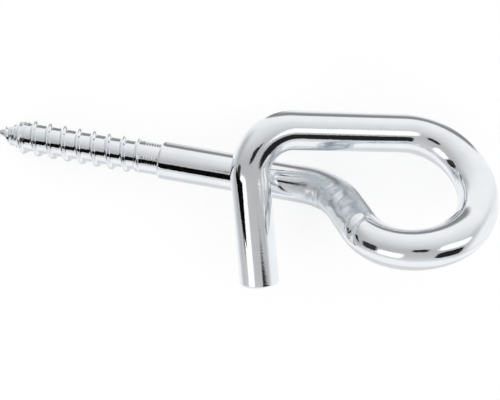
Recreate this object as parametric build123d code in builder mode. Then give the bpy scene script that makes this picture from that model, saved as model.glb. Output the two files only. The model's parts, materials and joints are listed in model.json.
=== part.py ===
"""Lag eye screw bent from one zinc-plated steel rod: a gimlet point and lag thread, a smooth shank, a kink,
an open eye, a straight bar, and a free end that comes back across the shank like a hook.

It lies as it comes to rest: the shank and the far side of the eye touch Z = 0, and the free end is on top.
+X runs along the shank from the point to the eye, and the origin is under the middle of the whole.
"""

import os
from math import atan2, cos, degrees, radians, sin, tan

from build123d import *

# ---------------------------------------------------------------- driving dimensions, mm and degrees
ROD_DIAMETER = 12.0

# screw end, measured along the axis from the point
THREAD_DIAMETER = 11.5  # over the crests
CORE_DIAMETER = 9.1  # between the crests
BLANK_DIAMETER = 10.2  # plain stretch that the thread rolls leave
THREAD_PITCH = 5.0
FLANK_ANGLE = 60.0  # between the two flanks of the ridge
CREST_WIDTH = 0.3
TIP_LENGTH = 10.0  # gimlet cone
TIP_RIDGE_START = 3.0  # the ridge rises out of the cone here
TIP_RIDGE_DEPTH = 0.72  # and is lower on the cone
RIDGE_SINK = 0.3  # the root of the ridge, buried in the core
THREAD_END = 48.0
BLANK_AT = 48.4  # step from the core up to the blank
SHOULDER_AT = 56.5  # step up to the full rod
SHOULDER_CHAMFER = 0.8
THREAD_TURN = 193.0  # roll of the thread about the shank

# bent end, along the centreline of the rod
SHANK_LENGTH = 103.5  # point to the start of the kink
KINK_RADIUS = 16.0
KINK_ANGLE = 60.0
NECK_LENGTH = 11.5
LOWER_EYE_TWIST = 14.0  # the eye leans out of the plane of the kink
LOWER_EYE_RADIUS = 18.0
LOWER_EYE_ANGLE = 119.0
UPPER_EYE_TWIST = 25.0  # and winds on like a spring
UPPER_EYE_RADIUS = 20.0
UPPER_EYE_ANGLE = 138.0
BAR_LENGTH = 33.5
CORNER_TWIST = -45.0
CORNER_RADIUS = 13.0
CORNER_ANGLE = 98.0
FREE_END_LENGTH = 33.0
CUT_CHAMFER = 0.4

# ---------------------------------------------------------------- derived values
ROD_RADIUS = ROD_DIAMETER / 2
CORE_RADIUS = CORE_DIAMETER / 2
BLANK_RADIUS = BLANK_DIAMETER / 2
CREST_RADIUS = THREAD_DIAMETER / 2
THREAD_DEPTH = CREST_RADIUS - CORE_RADIUS
FLANK_RISE = tan(radians(FLANK_ANGLE / 2))
TIP_ANGLE = degrees(atan2(CORE_RADIUS, TIP_LENGTH))
FULL_ROD_AT = SHOULDER_AT + SHOULDER_CHAMFER
ROUTE_STEPS = 400  # places looked at along each stretch to find where the eye touches the floor

# The rod after its straight shank: roll of the bending side, bend radius, bend angle and the run that follows.
BENDS = (
    (0.0, KINK_RADIUS, KINK_ANGLE, NECK_LENGTH),
    (180.0 + LOWER_EYE_TWIST, LOWER_EYE_RADIUS, LOWER_EYE_ANGLE, 0.0),
    (UPPER_EYE_TWIST, UPPER_EYE_RADIUS, UPPER_EYE_ANGLE, BAR_LENGTH),
    (CORNER_TWIST, CORNER_RADIUS, CORNER_ANGLE, FREE_END_LENGTH),
)


# ---------------------------------------------------------------- the route of the rod
def along_bend(start, radius, angle):
    """The plane reached by turning through an angle towards the start plane's x axis; z is the heading."""
    turn = radians(angle)
    side, ahead = start.x_dir, start.z_dir
    place = start.origin + side * (radius * (1 - cos(turn))) + ahead * (radius * sin(turn))
    return Plane(place, x_dir=side * cos(turn) - ahead * sin(turn), z_dir=ahead * cos(turn) + side * sin(turn))


def rolled(start, angle):
    """The same place and heading, with the bending side rolled about the heading."""
    side = start.x_dir.rotate(Axis((0, 0, 0), start.z_dir), angle)
    return Plane(start.origin, x_dir=side, z_dir=start.z_dir)


def route(roll):
    """Every stretch of the full rod as its start plane, radius and amount, and the plane of the cut end.

    A bend's amount is its angle. A run has radius 0, and its amount is its length. The shank lies on the X
    axis with the point at X = 0, and roll turns the bent end about it.
    """
    station = rolled(Plane((FULL_ROD_AT, 0, 0), x_dir=(0, -1, 0), z_dir=(1, 0, 0)), roll)
    shank_run = SHANK_LENGTH - FULL_ROD_AT
    stretches = [(station, 0.0, shank_run)]
    station = station.offset(shank_run)
    for twist, radius, angle, run in BENDS:
        station = rolled(station, twist)
        stretches.append((station, radius, angle))
        station = along_bend(station, radius, angle)
        if run > 0:
            stretches.append((station, 0.0, run))
            station = station.offset(run)
    return stretches, station


def resting_roll():
    """The roll that lays the shank and the far side of the eye on one floor.

    Both are the same rod, so their centrelines are at one height where they touch: the eye is turned down
    about the shank by the lowest angle at which its centreline is seen from the shank's axis.
    """
    bearings = []
    bent_end = route(0.0)[0][1:]
    for start, radius, amount in bent_end:
        for step in range(1, ROUTE_STEPS + 1):
            reach = amount * step / ROUTE_STEPS
            here = along_bend(start, radius, reach) if radius else start.offset(reach)
            if here.origin.Y > 0:
                bearings.append(degrees(atan2(here.origin.Z, here.origin.Y)))
    return -min(bearings)


rod_stretches, cut_end = route(resting_roll())

# ---------------------------------------------------------------- screw end, about +Z with the point at 0
def ridge_helices():
    """Feet of the ridge: one that climbs the gimlet cone, and one along the core that carries on from it."""
    climb = Helix(
        THREAD_PITCH,
        TIP_LENGTH - TIP_RIDGE_START,
        CORE_RADIUS * TIP_RIDGE_START / TIP_LENGTH,
        center=(0, 0, TIP_RIDGE_START),
        cone_angle=TIP_ANGLE,
    )
    top = climb @ 1
    run = Helix(THREAD_PITCH, THREAD_END - TIP_LENGTH, CORE_RADIUS, center=(0, 0, TIP_LENGTH))
    return (Rot(Z=-degrees(atan2(top.Y, top.X))) * climb, TIP_RIDGE_DEPTH), (run, THREAD_DEPTH)


ridges = ridge_helices()

with BuildPart() as screw_end:
    with BuildSketch(Plane.XZ):
        with BuildLine():
            Polyline(
                (0, 0),
                (CORE_RADIUS, TIP_LENGTH),
                (CORE_RADIUS, BLANK_AT),
                (BLANK_RADIUS, BLANK_AT + BLANK_RADIUS - CORE_RADIUS),
                (BLANK_RADIUS, SHOULDER_AT),
                (ROD_RADIUS - SHOULDER_CHAMFER / 2, SHOULDER_AT),
                (ROD_RADIUS, FULL_ROD_AT),
                (0, FULL_ROD_AT),
                close=True,
            )
        make_face()
    revolve(axis=Axis.Z)
    for helix, depth in ridges:
        foot = helix @ 0
        root = CREST_WIDTH / 2 + (depth + RIDGE_SINK) * FLANK_RISE
        with BuildSketch(Plane(foot, x_dir=(foot.X, foot.Y, 0), z_dir=helix % 0)):
            with BuildLine():
                Polyline(
                    (-RIDGE_SINK, -root),
                    (depth, -CREST_WIDTH / 2),
                    (depth, CREST_WIDTH / 2),
                    (-RIDGE_SINK, root),
                    close=True,
                )
            make_face()
        sweep(path=helix, is_frenet=True)

# ---------------------------------------------------------------- the whole rod, with the point at X = 0
with BuildPart() as bent_rod:
    add(screw_end.part, rotation=(0, 90, THREAD_TURN))
    for start, radius, amount in rod_stretches:
        with BuildSketch(start):
            Circle(ROD_RADIUS)
        if radius:
            revolve(axis=Axis(start.origin + start.x_dir * radius, start.y_dir), revolution_arc=amount)
        else:
            extrude(amount=amount)
    cut_edge = bent_rod.edges().filter_by(GeomType.CIRCLE).sort_by_distance(cut_end.origin)[0]
    chamfer(cut_edge, CUT_CHAMFER)

box = bent_rod.part.bounding_box()
under_the_middle = (-box.center().X, -box.center().Y, -box.min.Z)

with BuildPart() as eye_screw:
    with Locations(under_the_middle):
        add(bent_rod.part)

eye_screw.part.label = "eye_screw"

os.makedirs("parts", exist_ok=True)
export_step(eye_screw.part, "parts/eye_screw.step")
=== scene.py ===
"""Looks of the lag eye screw: a zinc-plated steel rod, rolled to a lag thread and bent to an open eye.

The rod follows the same route as its CAD solid, which it replaces, and adds what the solid leaves out: the
thread's soft roots and run-out, the burrs behind the point, the rolling marks on the blank, the marks that
the bending dies left at the kink, the softened edge of the cut end, and the plating.
"""

import json
from math import atan2, ceil, pi, radians, tan

import bpy
import numpy as np
from mathutils import Matrix, Vector


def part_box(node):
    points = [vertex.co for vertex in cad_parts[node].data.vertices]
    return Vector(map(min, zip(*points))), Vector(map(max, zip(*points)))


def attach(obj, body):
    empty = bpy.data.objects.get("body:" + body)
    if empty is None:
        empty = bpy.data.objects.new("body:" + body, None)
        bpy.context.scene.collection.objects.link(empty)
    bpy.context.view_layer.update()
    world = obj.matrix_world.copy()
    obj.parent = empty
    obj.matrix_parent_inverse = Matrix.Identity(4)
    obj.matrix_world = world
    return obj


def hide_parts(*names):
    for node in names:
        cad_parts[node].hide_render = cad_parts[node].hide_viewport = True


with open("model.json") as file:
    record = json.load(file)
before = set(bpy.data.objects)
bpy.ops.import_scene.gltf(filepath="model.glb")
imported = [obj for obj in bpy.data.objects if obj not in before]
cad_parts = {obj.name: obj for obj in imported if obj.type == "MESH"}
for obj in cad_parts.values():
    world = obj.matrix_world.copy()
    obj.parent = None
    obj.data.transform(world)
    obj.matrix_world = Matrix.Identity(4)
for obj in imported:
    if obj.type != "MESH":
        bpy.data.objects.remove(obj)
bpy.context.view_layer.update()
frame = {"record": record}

MM = 0.001

# ---------------------------------------------------------------- the rod's sizes, as on its CAD solid
ROD_RADIUS = 6.0 * MM
CREST_RADIUS = 5.75 * MM
CORE_RADIUS = 4.55 * MM
BLANK_RADIUS = 5.1 * MM
THREAD_PITCH = 5.0 * MM
CREST_WIDTH = 0.3 * MM
FLANK_RISE = tan(radians(30.0))
TIP_LENGTH = 10.0 * MM
THREAD_RUNS_OUT = 50.2 * MM  # the last of the ridge lies over the start of the blank
BLANK_AT = 48.4 * MM
SHOULDER_AT = 56.5 * MM
SHOULDER_CHAMFER = 0.8 * MM
SHOULDER_STEP = 0.15 * MM  # length over which the blank steps up to the shoulder
THREAD_TURN = radians(193.0)
SHANK_LENGTH = 103.5 * MM
CUT_CHAMFER = 0.4 * MM
# roll of the bending side, bend radius, bend angle and the run that follows
BENDS = (
    (0.0, 16.0 * MM, 60.0, 11.5 * MM),
    (194.0, 18.0 * MM, 119.0, 0.0),
    (25.0, 20.0 * MM, 138.0, 33.5 * MM),
    (-45.0, 13.0 * MM, 98.0, 33.0 * MM),
)

# ---------------------------------------------------------------- sizes of the mesh and its finer detail
AROUND = 96  # vertices in a ring
SCREW_STEP = 0.1 * MM  # between rings on the screw end
ROD_STEP = 0.8 * MM  # between rings on the rod
WORKED_STEP = 0.35 * MM  # between rings where the dies marked it
POINT_RADIUS = 0.12 * MM
ON_THE_AXIS = 0.001 * MM  # a place no further off the shank's axis lies on it

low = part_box("eye_screw")[0]
shank_mount = next(m for m in frame["record"]["mounts"] if m["name"] == "smooth_shank")
POINT = Vector((low.x, shank_mount["pos_m"][1], ROD_RADIUS))


# ---------------------------------------------------------------- the route of the rod
def bent_route():
    """Rings of the rod before it is laid down: distance from the point, place, and two axes of each."""
    place = Vector((0.0, 0.0, 0.0))
    heading = Vector((1.0, 0.0, 0.0))
    side = Vector((0.0, -1.0, 0.0))
    ring_x = side.copy()
    rings = []
    travelled = 0.0

    def keep():
        rings.append((travelled, place.copy(), ring_x.copy(), heading.cross(ring_x)))

    def run(length, step):
        nonlocal travelled, place
        steps = max(1, ceil(length / step))
        for _ in range(steps):
            place = place + heading * (length / steps)
            travelled += length / steps
            keep()

    keep()
    run(SHOULDER_AT + SHOULDER_CHAMFER, SCREW_STEP)
    run(SHANK_LENGTH - SHOULDER_AT - SHOULDER_CHAMFER, ROD_STEP)
    for twist, radius, angle, length in BENDS:
        step = WORKED_STEP if travelled < EYE_AT - WORKED_STEP else ROD_STEP
        side = Matrix.Rotation(radians(twist), 3, heading) @ side
        axis = heading.cross(side)
        steps = ceil(radius * radians(angle) / step)
        turn = Matrix.Rotation(radians(angle) / steps, 3, axis)
        centre = place + side * radius
        for _ in range(steps):
            place = centre + turn @ (place - centre)
            heading = (turn @ heading).normalized()
            side = (turn @ side).normalized()
            ring_x = (turn @ ring_x).normalized()
            travelled += radius * radians(angle) / steps
            keep()
        if length:
            run(length, step)
    return rings


def laid_down(rings):
    """The rings, rolled about the shank until the far side of the eye is as low, and put in place."""
    bearings = [atan2(place.z, place.y) for _, place, _, _ in rings if place.y > ON_THE_AXIS]
    roll = Matrix.Rotation(-min(bearings), 3, "X")
    return [
        (along, POINT + roll @ place, roll @ ring_x, roll @ ring_y)
        for along, place, ring_x, ring_y in rings
    ]


# ---------------------------------------------------------------- the section of the rod along its length
def smooth(low_edge, high_edge, value):
    """0 below one edge and 1 above the other, eased between them."""
    share = np.clip((value - low_edge) / (high_edge - low_edge), 0.0, 1.0)
    return share * share * (3.0 - 2.0 * share)


def core_radius(along):
    """The rod without its ridge: gimlet cone, core, blank, shoulder and full rod."""
    places = (0.0, TIP_LENGTH, BLANK_AT, BLANK_AT + BLANK_RADIUS - CORE_RADIUS, SHOULDER_AT,
              SHOULDER_AT + SHOULDER_STEP, SHOULDER_AT + SHOULDER_CHAMFER)
    sizes = (POINT_RADIUS, CORE_RADIUS, CORE_RADIUS, BLANK_RADIUS, BLANK_RADIUS,
             ROD_RADIUS - SHOULDER_CHAMFER / 2, ROD_RADIUS)
    return np.interp(along, places, sizes)


RIDGE_HEIGHT = CREST_RADIUS - CORE_RADIUS
POINT_SHARE = 0.62  # of the ridge's height, reached on the gimlet point
POINT_RISE = (1.6 * MM, 4.5 * MM)
CORE_RISE = (9.0 * MM, 13.0 * MM)
RUN_OUT = 1.2 * MM
ROOT_SOFTNESS = 0.12 * MM


def ridge_height(along, bearing):
    """Height of the thread's ridge over the core, with soft roots, at a bearing about the shank's axis."""
    turns = (along - TIP_LENGTH) / THREAD_PITCH - (bearing - THREAD_TURN) / (2 * pi)
    offset = np.abs(turns - np.round(turns)) * THREAD_PITCH
    grown = POINT_SHARE * smooth(*POINT_RISE, along) + (1 - POINT_SHARE) * smooth(*CORE_RISE, along)
    depth = RIDGE_HEIGHT * grown * smooth(THREAD_RUNS_OUT + RUN_OUT, THREAD_RUNS_OUT, along)
    flank = depth - (offset - CREST_WIDTH / 2) / FLANK_RISE
    soft = ROOT_SOFTNESS * np.log1p(np.exp(np.clip(flank / ROOT_SOFTNESS, -30, 30)))
    return np.minimum(soft, depth)


# turns about the shank, pace along it, and start of each of the waves that make a surface uneven
UNEVEN_WAVES = ((3, 1.0, 0.3), (5, 1.37, 2.1), (-4, 0.83, 4.0), (9, 0.61, 1.2), (-7, 1.71, 5.3))


def uneven(along, bearing, size):
    """Irregular waves over the screw end, mostly between -1 and 1, and about as long as a size."""
    waves = np.zeros_like(along)
    for turns, pace, start in UNEVEN_WAVES:
        waves += np.sin(turns * bearing + 2 * pi * pace * along / size + start)
    return waves / 3.0


# each zone along the screw end: where it starts to rise, is full, starts to fall and has gone
BURR_ZONE = (5.0 * MM, 8.0 * MM, 11.2 * MM, 12.6 * MM)
ROLLING_ZONE = (51.0 * MM, 51.6 * MM, 55.9 * MM, 56.4 * MM)
BURR_HEIGHT = 0.42 * MM
BURR_PITCH = 1.1 * MM
BURR_WANDER = 0.12  # of a turn
BURR_WANDER_LENGTH = 3.0 * MM
BURR_BREAKS = 0.25  # of a burr's height
BURR_BREAK_LENGTH = 0.9 * MM
BURR_SHARPNESS = 1.5
ROLLING_HEIGHT = 0.06 * MM
ROLLING_PITCH = 0.85 * MM
DENT_DEPTH = 0.008 * MM
DENT_LENGTH = 1.6 * MM


def zone(along, rises, full, falls, gone):
    """1 inside a stretch of the rod and 0 outside, eased at both ends."""
    return smooth(rises, full, along) * smooth(gone, falls, along)


def fine_marks(along, bearing):
    """Burrs behind the point, the rings that the thread rolls left on the blank, and small dents over the
    screw end.
    """
    wander = BURR_WANDER * uneven(along, bearing, BURR_WANDER_LENGTH)
    burr_turns = along / BURR_PITCH - bearing / (2 * pi) + wander
    burrs = np.maximum(0.0, np.cos(2 * pi * burr_turns)) ** BURR_SHARPNESS
    burrs = burrs * (1 - BURR_BREAKS + BURR_BREAKS * uneven(along, bearing, BURR_BREAK_LENGTH))
    burrs = burrs * BURR_HEIGHT * zone(along, *BURR_ZONE)
    rolling = ROLLING_HEIGHT * zone(along, *ROLLING_ZONE) * np.cos(2 * pi * along / ROLLING_PITCH)
    screw_end = smooth(SHOULDER_AT, SHOULDER_AT - 1.0 * MM, along)
    dents = DENT_DEPTH * screw_end * uneven(along, bearing, DENT_LENGTH)
    return burrs + rolling + dents


def die_mark(along, angle, at, turned, length, depth, spread, slant):
    """Depth of one press mark: a hollow about a place on the rod, or a ridge where the depth is negative."""
    off = (angle - turned + pi) % (2 * pi) - pi
    lengthwise = np.exp(-((along - at - slant * off) / length) ** 2)
    return depth * lengthwise * np.exp(-(off / spread) ** 4)


KINK_AT = SHANK_LENGTH
EYE_AT = SHANK_LENGTH + BENDS[0][1] * radians(BENDS[0][2]) + BENDS[0][3]
# past the start of the kink, turn about the rod, half length, depth, half angle, and slant along the rod
# per radian
DIE_MARKS = (
    (2.5 * MM, radians(-15), 4.0 * MM, 0.30 * MM, radians(42), 0.0),
    (8.0 * MM, radians(8), 1.1 * MM, 0.50 * MM, radians(50), 2.0 * MM),
    (11.4 * MM, radians(-45), 1.0 * MM, -0.20 * MM, radians(45), -3.0 * MM),
    (15.5 * MM, radians(-40), 2.2 * MM, 0.40 * MM, radians(40), 0.0),
    (19.6 * MM, radians(-62), 0.8 * MM, -0.15 * MM, radians(30), 1.5 * MM),
    (23.0 * MM, radians(-60), 1.8 * MM, 0.35 * MM, radians(36), 0.0),
    (28.6 * MM, radians(-42), 0.9 * MM, -0.15 * MM, radians(45), 0.0),
    (31.0 * MM, radians(-42), 0.6 * MM, 0.50 * MM, radians(48), 1.0 * MM),
)

# ---------------------------------------------------------------- mesh
# radius of each ring that closes the cut end, and its distance back from the cut face
CUT_END_RINGS = (
    (ROD_RADIUS, CUT_CHAMFER),
    (ROD_RADIUS - 0.3 * CUT_CHAMFER, 0.45 * CUT_CHAMFER),
    (ROD_RADIUS - CUT_CHAMFER, 0.0),
    (0.72 * ROD_RADIUS, 0.0),
    (0.4 * ROD_RADIUS, 0.0),
)
# where the skin turns from drawn to worked and back, and from rolled to drawn
WORKED_ZONE = (KINK_AT - 6 * MM, KINK_AT + 1 * MM, EYE_AT - 0.5 * MM, EYE_AT + 1.5 * MM)
ROLLED_FADE = 0.6 * MM


def ring_radii(distance, angle, bearing):
    """Radius at every vertex of the rings, with the thread, the fine marks and the die marks."""
    body = core_radius(distance)
    ridge = np.minimum(body, CORE_RADIUS) + ridge_height(distance, bearing)
    radius = np.maximum(body, ridge) + fine_marks(distance, bearing)
    around = np.broadcast_to(angle, distance.shape)
    pressed = np.zeros_like(radius)
    for past, *mark in DIE_MARKS:
        pressed += die_mark(distance, around, KINK_AT + past, *mark)
    return np.minimum(radius, ROD_RADIUS) - pressed


def ring_faces(ring_count):
    """Quads between neighbouring rings, and triangles that close the point and the cut end."""
    row = np.arange(ring_count - 1)[:, None] * AROUND
    here = np.arange(AROUND)
    after = (here + 1) % AROUND
    quads = np.stack([row + here, row + after, row + AROUND + after, row + AROUND + here], axis=-1)
    point_vertex = ring_count * AROUND
    end_vertex = point_vertex + 1
    last_row = (ring_count - 1) * AROUND
    sides = list(zip(here.tolist(), after.tolist()))
    faces = quads.reshape(-1, 4).tolist()
    faces += [[point_vertex, b, a] for a, b in sides]
    faces += [[last_row + a, last_row + b, end_vertex] for a, b in sides]
    return faces


def add_attributes(mesh, along, angle):
    """What the plating reads: the place on the straightened rod, and where the rod was worked and rolled."""
    around = np.resize(angle, len(along))
    rod_place = np.stack([along, ROD_RADIUS * np.cos(around), ROD_RADIUS * np.sin(around)], axis=-1)
    rolled = smooth(SHOULDER_AT + ROLLED_FADE, SHOULDER_AT, along)
    for name, kind, field, values in (
        ("rod_place", "FLOAT_VECTOR", "vector", rod_place),
        ("worked", "FLOAT", "value", zone(along, *WORKED_ZONE)),
        ("rolled", "FLOAT", "value", rolled),
    ):
        mesh.attributes.new(name, kind, "POINT").data.foreach_set(field, values.reshape(-1))


def rod_mesh():
    """The whole rod as rings of vertices, closed at the point and at the cut end."""
    rings = laid_down(bent_route())
    along = np.array([ring[0] for ring in rings])
    place = np.array([ring[1][:] for ring in rings])
    ring_x = np.array([ring[2][:] for ring in rings])
    ring_y = np.array([ring[3][:] for ring in rings])
    angle = np.arange(AROUND) * (2 * pi / AROUND)
    outward = ring_x[:, None, :] * np.cos(angle)[None, :, None]
    outward = outward + ring_y[:, None, :] * np.sin(angle)[None, :, None]
    bearing = np.arctan2(outward[..., 1], -outward[..., 2])
    distance = np.repeat(along[:, None], AROUND, axis=1)
    points = place[:, None, :] + outward * ring_radii(distance, angle, bearing)[..., None]

    kept = along < along[-1] - CUT_CHAMFER
    heading = np.cross(ring_x[-1], ring_y[-1])
    end_rings = [place[-1] - heading * back + outward[-1] * radius for radius, back in CUT_END_RINGS]
    vertices = np.concatenate([points[kept].reshape(-1, 3), *end_rings, [place[0]], [place[-1]]])
    kept_along = distance[kept].reshape(-1)
    vertex_along = np.concatenate([kept_along, np.full(len(vertices) - len(kept_along), along[-1])])

    mesh = bpy.data.meshes.new("bent_rod")
    mesh.from_pydata(vertices.tolist(), [], ring_faces(np.count_nonzero(kept) + len(end_rings)))
    mesh.update()
    mesh.shade_smooth()
    add_attributes(mesh, vertex_along, angle)
    return mesh


# ---------------------------------------------------------------- helpers for node trees
def add_node(tree, kind, **settings):
    """A new node, with its properties and its unlinked inputs set by name."""
    node = tree.nodes.new(kind)
    for name, value in settings.items():
        if hasattr(node, name):
            setattr(node, name, value)
        else:
            node.inputs[name.replace("_", " ")].default_value = value
    return node


def fill(tree, sockets, values):
    """Sets each input to its number, or links it to the output that is given for it."""
    for socket, value in zip(sockets, values):
        if isinstance(value, (int, float)):
            socket.default_value = value
        else:
            tree.links.new(value, socket)


def maths(tree, operation, *values, **settings):
    node = add_node(tree, "ShaderNodeMath", operation=operation, **settings)
    fill(tree, node.inputs, values)
    return node.outputs[0]


def new_material(name):
    material = bpy.data.materials.new(name)
    material.use_nodes = True
    return material, material.node_tree, material.node_tree.nodes["Principled BSDF"]


# ---------------------------------------------------------------- bright zinc
BRIGHT_ZINC = (0.87, 0.89, 0.91, 1.0)
DULL_ZINC = (0.62, 0.66, 0.70, 1.0)
GRAIN_ROUGHNESS = 0.07
WORKED_ROUGHNESS = 0.10
ROLLED_ROUGHNESS = 0.03
LINE_STRETCH = (0.05, 1.0, 1.0)  # drawing lines are long along the rod
# how high each kind of relief stands against the others
LINE_RELIEF = 0.35
GRAIN_RELIEF = 1.1
WAVE_RELIEF = 2.5
HAMMERED_RELIEF = 9.0
BUMP_STRENGTH = 0.5
BUMP_DEPTH = 0.02 * MM


def zinc():
    """Bright zinc over steel: mirror-like on the drawn rod, finely grained where the metal was worked."""
    material, tree, shader = new_material("bright_zinc")
    shader.inputs["Metallic"].default_value = 1.0

    def noise(where, **settings):
        texture = add_node(tree, "ShaderNodeTexNoise", **settings)
        tree.links.new(where, texture.inputs["Vector"])
        return texture.outputs["Fac"]

    def scaled(value, low_out, high_out):
        node = add_node(tree, "ShaderNodeMapRange", To_Min=low_out, To_Max=high_out)
        tree.links.new(value, node.inputs["Value"])
        return node.outputs["Result"]

    def times(first, second):
        return maths(tree, "MULTIPLY", first, second)

    def plus(first, second):
        return maths(tree, "ADD", first, second)

    rod_place = add_node(tree, "ShaderNodeAttribute", attribute_name="rod_place").outputs["Vector"]
    worked = add_node(tree, "ShaderNodeAttribute", attribute_name="worked").outputs["Fac"]
    rolled = add_node(tree, "ShaderNodeAttribute", attribute_name="rolled").outputs["Fac"]
    place = add_node(tree, "ShaderNodeTexCoord").outputs["Object"]

    stretch = add_node(tree, "ShaderNodeMapping", Scale=LINE_STRETCH)
    tree.links.new(rod_place, stretch.inputs["Vector"])
    lines = noise(stretch.outputs["Vector"], Scale=1400.0, Detail=3.0, Roughness=0.6)
    waves = noise(place, Scale=120.0, Detail=2.0)
    grain = noise(place, Scale=1900.0, Detail=3.0, Roughness=0.6)
    hammered = noise(place, Scale=900.0, Detail=5.0, Roughness=0.7)

    rough = plus(scaled(grain, 0.0, GRAIN_ROUGHNESS), times(worked, WORKED_ROUGHNESS))
    rough = plus(rough, times(rolled, ROLLED_ROUGHNESS))
    tree.links.new(rough, shader.inputs["Roughness"])

    dulled = plus(times(worked, scaled(hammered, 0.1, 1.1)), scaled(waves, -0.1, 0.4))
    tint = add_node(tree, "ShaderNodeMix", data_type="RGBA")
    tint.inputs[6].default_value = BRIGHT_ZINC
    tint.inputs[7].default_value = DULL_ZINC
    tree.links.new(dulled, tint.inputs[0])
    tree.links.new(tint.outputs[2], shader.inputs["Base Color"])

    height = plus(times(lines, LINE_RELIEF), times(grain, GRAIN_RELIEF))
    height = plus(height, times(waves, WAVE_RELIEF))
    height = plus(height, times(hammered, times(worked, HAMMERED_RELIEF)))
    bump = add_node(tree, "ShaderNodeBump", Strength=BUMP_STRENGTH, Distance=BUMP_DEPTH)
    tree.links.new(height, bump.inputs["Height"])
    tree.links.new(bump.outputs["Normal"], shader.inputs["Normal"])
    return material


# ---------------------------------------------------------------- stage
FLOOR_HALF = 1.5
FLOOR_COLOUR = (0.42, 0.42, 0.42, 1.0)
FLOOR_GLOW = 0.72  # what is added to the floor's own light where it is looked at


def floor_material():
    """Pale, with the object's soft shadow, and lifted to white for the rays that look at it."""
    material, tree, _ = new_material("white_floor")
    tree.nodes.clear()
    matt = add_node(tree, "ShaderNodeBsdfDiffuse", Color=FLOOR_COLOUR)
    path = add_node(tree, "ShaderNodeLightPath")
    looked_at = maths(tree, "ADD", path.outputs["Is Camera Ray"], path.outputs["Is Glossy Ray"])
    looked_at = maths(tree, "ADD", looked_at, path.outputs["Is Transmission Ray"])
    glow = add_node(tree, "ShaderNodeEmission")
    tree.links.new(maths(tree, "MULTIPLY", looked_at, FLOOR_GLOW, use_clamp=True), glow.inputs["Strength"])
    both = add_node(tree, "ShaderNodeAddShader")
    tree.links.new(matt.outputs[0], both.inputs[0])
    tree.links.new(glow.outputs[0], both.inputs[1])
    output = add_node(tree, "ShaderNodeOutputMaterial")
    tree.links.new(both.outputs[0], output.inputs["Surface"])
    return material


def staged_sheet(name, corners, material):
    """One flat rectangle of the stage, which isn't part of the object."""
    mesh = bpy.data.meshes.new(name)
    mesh.from_pydata(corners, [], [(0, 1, 2, 3)])
    mesh.materials.append(material)
    sheet = bpy.data.objects.new(name, mesh)
    bpy.context.scene.collection.objects.link(sheet)
    return sheet


def floor():
    """The floor. It is hidden from glossy rays, so the plating mirrors the studio's lower half."""
    half = FLOOR_HALF
    corners = [(-half, -half, 0), (half, -half, 0), (half, half, 0), (-half, half, 0)]
    plane = staged_sheet("floor", corners, floor_material())
    plane.visible_glossy = False


CARD_BLACK = (0.01, 0.01, 0.01, 1.0)
CARD_HEIGHT = 40 * MM
CARD_PAST_POINT = 20 * MM
CARD_FRONT = -3 * MM  # along X, short of the free end
CARD_SIDES = (-29 * MM, -5.5 * MM)  # along Y, from the shank's axis


def black_card():
    """A black card over the screw end, from behind the point to short of the free end.

    Glossy rays see it, and camera, diffuse and shadow rays don't.
    """
    material, _, shader = new_material("black_card")
    shader.inputs["Base Color"].default_value = CARD_BLACK
    shader.inputs["Specular IOR Level"].default_value = 0.0
    back = low.x - CARD_PAST_POINT
    near, far = (POINT.y + side for side in CARD_SIDES)
    outline = ((back, near), (CARD_FRONT, near), (CARD_FRONT, far), (back, far))
    corners = [(x, y, CARD_HEIGHT) for x, y in outline]
    card = staged_sheet("black_card", corners, material)
    card.visible_camera = False
    card.visible_diffuse = False
    card.visible_shadow = False


# The light of the studio by direction. Directions are mapped flat, with straight up in the middle: ACROSS
# and ALONG are degrees from there, across the shank towards +Y and along it towards +X. Below the horizon
# it stands in for the floor, which glossy rays don't see.
LIGHT_ACROSS = (
    (-180, 1.10), (-150, 0.85), (-125, 0.76), (-102, 0.78), (-88, 1.03), (-62, 1.03), (-50, 0.75),
    (-30, 0.60), (0, 0.53), (12, 0.60), (25, 0.70), (38, 0.80), (55, 0.88), (70, 0.98), (98, 1.03),
    (106, 0.30), (118, 0.26), (128, 0.45), (140, 0.95), (180, 1.10),
)
LIGHT_ALONG = (
    (-180, 1.05), (-115, 1.00), (-100, 0.70), (-80, 0.47), (-55, 0.55), (0, 0.60), (30, 0.52),
    (65, 0.48), (78, 0.75), (88, 1.00), (180, 1.05),
)
# soft boxes and black cards: along and across of the middle, half sizes along and across, and light
CARDS = (
    (47, 9, 23, 13, 1.20),
    (-31, -30, 18, 14, 1.20),
    (50, -27, 20, 15, 0.02),
    (2, 4, 10, 7, 0.03),
    (-60, -20, 11, 16, 0.04),
)
BRIGHTEST = 1.25  # the top of the curves that hold the stops
FULL_TURN = 360.0
ALONG_TAKES_OVER = (50.0, 85.0)  # degrees along the shank
ACROSS_LETS_GO = (75.0, 30.0)  # degrees across it
CARD_EDGE = (1.4, 0.6)  # a card fades in between these, where 1 is its edge
CARD_SQUARENESS = 4.0


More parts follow.
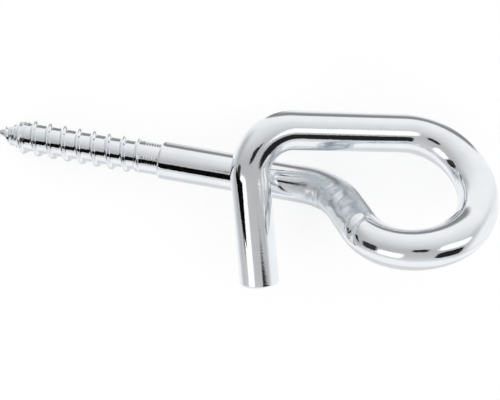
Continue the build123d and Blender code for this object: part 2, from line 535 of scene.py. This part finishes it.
def studio():
    """What lights the object and what the plating mirrors: pale walls, two soft boxes and black cards."""
    world = bpy.data.worlds.new("studio")
    bpy.context.scene.world = world
    world.use_nodes = True
    tree = world.node_tree

    def calc(operation, first, second=0.0):
        return maths(tree, operation, first, second)

    def eased(value, first, last):
        node = add_node(tree, "ShaderNodeMapRange", From_Min=first, From_Max=last)
        node.interpolation_type = "SMOOTHSTEP"
        tree.links.new(value, node.inputs["Value"])
        return node.outputs["Result"]

    def mixed(share, first, second):
        node = add_node(tree, "ShaderNodeMix", data_type="FLOAT")
        fill(tree, (node.inputs[0], node.inputs[2], node.inputs[3]), (share, first, second))
        return node.outputs[0]

    def by_stops(value, stops):
        node = add_node(tree, "ShaderNodeFloatCurve")
        curve = node.mapping.curves[0]
        for degrees_off, level in stops[1:-1]:
            curve.points.new(degrees_off / FULL_TURN + 0.5, level / BRIGHTEST)
        curve.points[0].location = (0.0, stops[0][1] / BRIGHTEST)
        curve.points[-1].location = (1.0, stops[-1][1] / BRIGHTEST)
        for point in curve.points:
            point.handle_type = "VECTOR"
        node.mapping.update()
        tree.links.new(maths(tree, "MULTIPLY_ADD", value, 1 / FULL_TURN, 0.5), node.inputs["Value"])
        return calc("MULTIPLY", node.outputs[0], BRIGHTEST)

    def off_card(value, middle, half):
        share = calc("DIVIDE", calc("SUBTRACT", value, float(middle)), float(half))
        return calc("POWER", calc("ABSOLUTE", share), CARD_SQUARENESS)

    direction = add_node(tree, "ShaderNodeTexCoord").outputs["Generated"]
    parts = add_node(tree, "ShaderNodeSeparateXYZ")
    tree.links.new(direction, parts.inputs[0])
    x, y, z = parts.outputs
    from_up = calc("MULTIPLY", calc("ARCCOSINE", z), 180.0 / pi)
    level_part = calc("SQRT", calc("ADD", calc("MULTIPLY", x, x), calc("MULTIPLY", y, y)))
    stretch = calc("DIVIDE", from_up, calc("MAXIMUM", level_part, 1e-4))
    along = calc("MULTIPLY", x, stretch)
    across = calc("MULTIPLY", y, stretch)

    far_along = eased(calc("ABSOLUTE", along), *ALONG_TAKES_OVER)
    near_across = eased(calc("ABSOLUTE", across), *ACROSS_LETS_GO)
    side_share = calc("MULTIPLY", far_along, near_across)
    light = mixed(side_share, by_stops(across, LIGHT_ACROSS), by_stops(along, LIGHT_ALONG))
    for card_along, card_across, half_along, half_across, level in CARDS:
        off = calc("ADD", off_card(along, card_along, half_along), off_card(across, card_across, half_across))
        light = mixed(eased(off, *CARD_EDGE), light, level)
    background = tree.nodes["Background"]
    background.inputs["Color"].default_value = (1.0, 1.0, 1.0, 1.0)
    tree.links.new(light, background.inputs["Strength"])


# ---------------------------------------------------------------- camera
CAMERA_PLACE = Vector((0.03954, 0.04582, 0.28793))
CAMERA_AHEAD = Vector((-0.1157, -0.1786, -0.9771))
CAMERA_UP = Vector((-0.1724, 0.9724, -0.1573))
LENS = 64.8
SENSOR_WIDTH = 36.0
NEAREST_SEEN = 0.01


def camera():
    ahead = CAMERA_AHEAD.normalized()
    right = ahead.cross(CAMERA_UP).normalized()
    up = right.cross(ahead)
    lens = bpy.data.cameras.new("camera")
    lens.lens = LENS
    lens.sensor_width = SENSOR_WIDTH
    lens.clip_start = NEAREST_SEEN
    seen = bpy.data.objects.new("camera", lens)
    turn = Matrix((right, up, -ahead)).transposed()
    seen.matrix_world = Matrix.Translation(CAMERA_PLACE) @ turn.to_4x4()
    bpy.context.scene.collection.objects.link(seen)
    bpy.context.scene.camera = seen


# ---------------------------------------------------------------- the scene
camera()
studio()
floor()
black_card()

rod = bpy.data.objects.new("bent_rod", rod_mesh())
bpy.context.scene.collection.objects.link(rod)
rod.data.materials.append(zinc())
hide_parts("eye_screw")
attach(rod, "root")

bpy.context.scene.view_settings.view_transform = "Standard"
